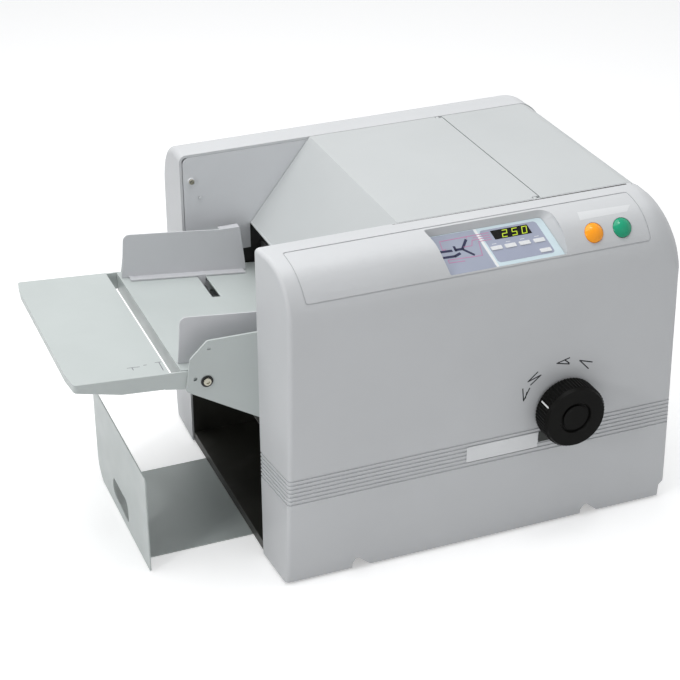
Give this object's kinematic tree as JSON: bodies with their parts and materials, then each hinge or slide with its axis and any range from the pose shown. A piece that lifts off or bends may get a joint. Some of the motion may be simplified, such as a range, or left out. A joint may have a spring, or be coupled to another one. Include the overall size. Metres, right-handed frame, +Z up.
{
  "type": "paper folding machine",
  "caption": "Desktop paper folding machine: feed table with side guides, gear-driven fold rollers and fold plates under a hood, selector knob, key panel and sliding delivery stop.",
  "frame": {"origin": "centre of the bounding box's base, on the surface that the rubber feet stand on", "axes": "+X from the feed table to the closed end, +Y from the operator's side to the back, +Z up"},
  "size_m": [0.668, 0.429, 0.377],
  "materials": {
    "cover_plastic": "fine-textured moulded plastic",
    "hood_plastic": "fine-textured moulded plastic",
    "plate_paint": "mid grey paint",
    "pale_sheet": "pale grey powder coat",
    "guide_paint": "grey powder coat",
    "dark_pan": "black paint",
    "bright_steel": "turned steel",
    "bush_black": "moulded bearing plastic",
    "gear_nylon": "moulded nylon",
    "rubber": "moulded rubber",
    "motor_paint": "black paint",
    "panel_blue": "printed film on sheet",
    "dark_window": "smoked",
    "key_white": "moulded",
    "button_orange": "moulded",
    "button_green": "moulded",
    "knob_black": "moulded",
    "board_green": "circuit board",
    "inlet_black": "moulded"
  },
  "bodies": {
    "casing": {"front_cover": "cover_plastic", "rear_cover": "cover_plastic", "front_side_plate": "plate_paint", "rear_side_plate": "plate_paint", "base_plate": "dark_pan", "tie_bars": "bright_steel", "rubber_feet": "rubber", "rear_hood": "hood_plastic", "hood_hinge_pins": "bright_steel", "power_inlet": "inlet_black", "control_panel": "panel_blue", "display_window": "dark_window", "circuit_board": "board_green", "button_switches": "inlet_black", "front_bracket": "pale_sheet", "rear_bracket": "pale_sheet", "table_pivots": "bright_steel", "infeed_plate": "pale_sheet", "guide_rail": "bright_steel", "separator_pad": "rubber", "separator_holder": "inlet_black", "separator_spring": "bright_steel", "roller_bushes": "bush_black", "motor": "motor_paint", "drive_belt": "rubber", "upper_fold_plate": "bright_steel", "lower_fold_plate": "bright_steel", "selector_guides": "bright_steel", "delivery_chute": "dark_pan"},
    "lid": {"front_hood": "hood_plastic"},
    "feed_table": {"feed_table": "pale_sheet"},
    "front_guide": {"front_guide": "guide_paint"},
    "rear_guide": {"rear_guide": "guide_paint"},
    "feed_roller": {"feed_tyres": "rubber", "feed_shaft": "bright_steel", "feed_gear": "gear_nylon"},
    "idler": {"idler_gear": "gear_nylon"},
    "fold_roller_1": {"fold_roller_1": "bright_steel", "fold_gear_1": "gear_nylon"},
    "fold_roller_2": {"fold_roller_2": "bright_steel", "fold_gear_2": "gear_nylon", "drive_pulley": "motor_paint"},
    "fold_roller_3": {"fold_roller_3": "bright_steel", "fold_gear_3": "gear_nylon"},
    "fold_roller_4": {"fold_roller_4": "bright_steel", "fold_gear_4": "gear_nylon"},
    "motor_shaft": {"motor_pulley": "motor_paint"},
    "selector": {"selector_knob": "knob_black", "selector_shaft": "bright_steel", "selector_pinion": "gear_nylon"},
    "upper_stop": {"upper_stop": "bright_steel"},
    "lower_stop": {"lower_stop": "bright_steel"},
    "delivery_stop": {"delivery_stop": "pale_sheet"},
    "test_button": {"test_button": "button_orange"},
    "start_button": {"start_button": "button_green"},
    "panel_key_1": {"panel_key_1": "key_white"},
    "panel_key_2": {"panel_key_2": "key_white"},
    "panel_key_3": {"panel_key_3": "key_white"},
    "panel_key_4": {"panel_key_4": "key_white"},
    "panel_key_5": {"panel_key_5": "key_white"}
  },
  "joints": [
    {"name": "lid_hinge", "type": "hinge", "parent": "casing", "child": "lid", "pos_m": [0.1815, 0.008, 0.374], "axis": [0, 1, 0], "range_deg": [0, 110]},
    {"name": "table_fold", "type": "hinge", "parent": "casing", "child": "feed_table", "pos_m": [-0.1919, 0.008, 0.2351], "axis": [0, -1, 0], "range_deg": [0, 60]},
    {"name": "front_guide_slide", "type": "slide", "parent": "casing", "child": "front_guide", "axis": [0, 1, 0], "range_m": [-0.006, 0.05]},
    {"name": "rear_guide_slide", "type": "slide", "parent": "casing", "child": "rear_guide", "axis": [0, -1, 0], "range_m": [-0.006, 0.05]},
    {"name": "fold_roller_2_spin", "type": "hinge", "parent": "casing", "child": "fold_roller_2", "pos_m": [0.016, 0.008, 0.208], "axis": [0, 1, 0], "continuous": true},
    {"name": "fold_roller_1_spin", "type": "hinge", "parent": "casing", "child": "fold_roller_1", "pos_m": [0.00823, 0.008, 0.23698], "axis": [0, 1, 0], "continuous": true},
    {"name": "fold_roller_3_spin", "type": "hinge", "parent": "casing", "child": "fold_roller_3", "pos_m": [0.04319, 0.008, 0.22068], "axis": [0, 1, 0], "continuous": true},
    {"name": "fold_roller_4_spin", "type": "hinge", "parent": "casing", "child": "fold_roller_4", "pos_m": [0.02626, 0.008, 0.17981], "axis": [0, 1, 0], "continuous": true},
    {"name": "idler_spin", "type": "hinge", "parent": "casing", "child": "idler", "pos_m": [-0.01102, 0.008, 0.25293], "axis": [0, 1, 0], "continuous": true},
    {"name": "feed_roller_spin", "type": "hinge", "parent": "casing", "child": "feed_roller", "pos_m": [-0.036, 0.008, 0.252], "axis": [0, 1, 0], "continuous": true},
    {"name": "motor_shaft_spin", "type": "hinge", "parent": "casing", "child": "motor_shaft", "pos_m": [0.11, 0.008, 0.059], "axis": [0, 1, 0], "continuous": true},
    {"name": "selector_turn", "type": "hinge", "parent": "casing", "child": "selector", "pos_m": [0.192, 0.008, 0.156], "axis": [0, 1, 0], "range_deg": [0, 105]},
    {"name": "upper_stop_slide", "type": "slide", "parent": "casing", "child": "upper_stop", "axis": [0.866, 0, 0.5], "range_m": [0, 0.04948]},
    {"name": "lower_stop_slide", "type": "slide", "parent": "casing", "child": "lower_stop", "axis": [-0.766, 0, 0.6428], "range_m": [0, 0.04948]},
    {"name": "delivery_stop_slide", "type": "slide", "parent": "casing", "child": "delivery_stop", "axis": [-1, 0, 0], "range_m": [0, 0.11]},
    {"name": "test_button_press", "type": "slide", "parent": "casing", "child": "test_button", "axis": [0, 0.766, -0.6428], "range_m": [0, 0.0025], "stiffness_N_per_m": 400},
    {"name": "start_button_press", "type": "slide", "parent": "casing", "child": "start_button", "axis": [0, 0.766, -0.6428], "range_m": [0, 0.0025], "stiffness_N_per_m": 400},
    {"name": "panel_key_1_press", "type": "slide", "parent": "casing", "child": "panel_key_1", "axis": [0, 0.6225, -0.7826], "range_m": [0, 0.0007], "stiffness_N_per_m": 400},
    {"name": "panel_key_2_press", "type": "slide", "parent": "casing", "child": "panel_key_2", "axis": [0, 0.6225, -0.7826], "range_m": [0, 0.0007], "stiffness_N_per_m": 400},
    {"name": "panel_key_3_press", "type": "slide", "parent": "casing", "child": "panel_key_3", "axis": [0, 0.6225, -0.7826], "range_m": [0, 0.0007], "stiffness_N_per_m": 400},
    {"name": "panel_key_4_press", "type": "slide", "parent": "casing", "child": "panel_key_4", "axis": [0, 0.6225, -0.7826], "range_m": [0, 0.0007], "stiffness_N_per_m": 400},
    {"name": "panel_key_5_press", "type": "slide", "parent": "casing", "child": "panel_key_5", "axis": [0, 0.6225, -0.7826], "range_m": [0, 0.0007], "stiffness_N_per_m": 400}
  ],
  "couplings": [
    {"joint": "fold_roller_1_spin", "follows": "fold_roller_2_spin", "ratio": -1},
    {"joint": "fold_roller_3_spin", "follows": "fold_roller_2_spin", "ratio": -1},
    {"joint": "fold_roller_4_spin", "follows": "fold_roller_2_spin", "ratio": -1},
    {"joint": "idler_spin", "follows": "fold_roller_2_spin", "ratio": 1.5},
    {"joint": "feed_roller_spin", "follows": "fold_roller_2_spin", "ratio": -1},
    {"joint": "motor_shaft_spin", "follows": "fold_roller_2_spin", "ratio": 3},
    {"joint": "upper_stop_slide", "follows": "selector_turn", "m_per_rad": 0.027},
    {"joint": "lower_stop_slide", "follows": "selector_turn", "m_per_rad": 0.027}
  ]
}
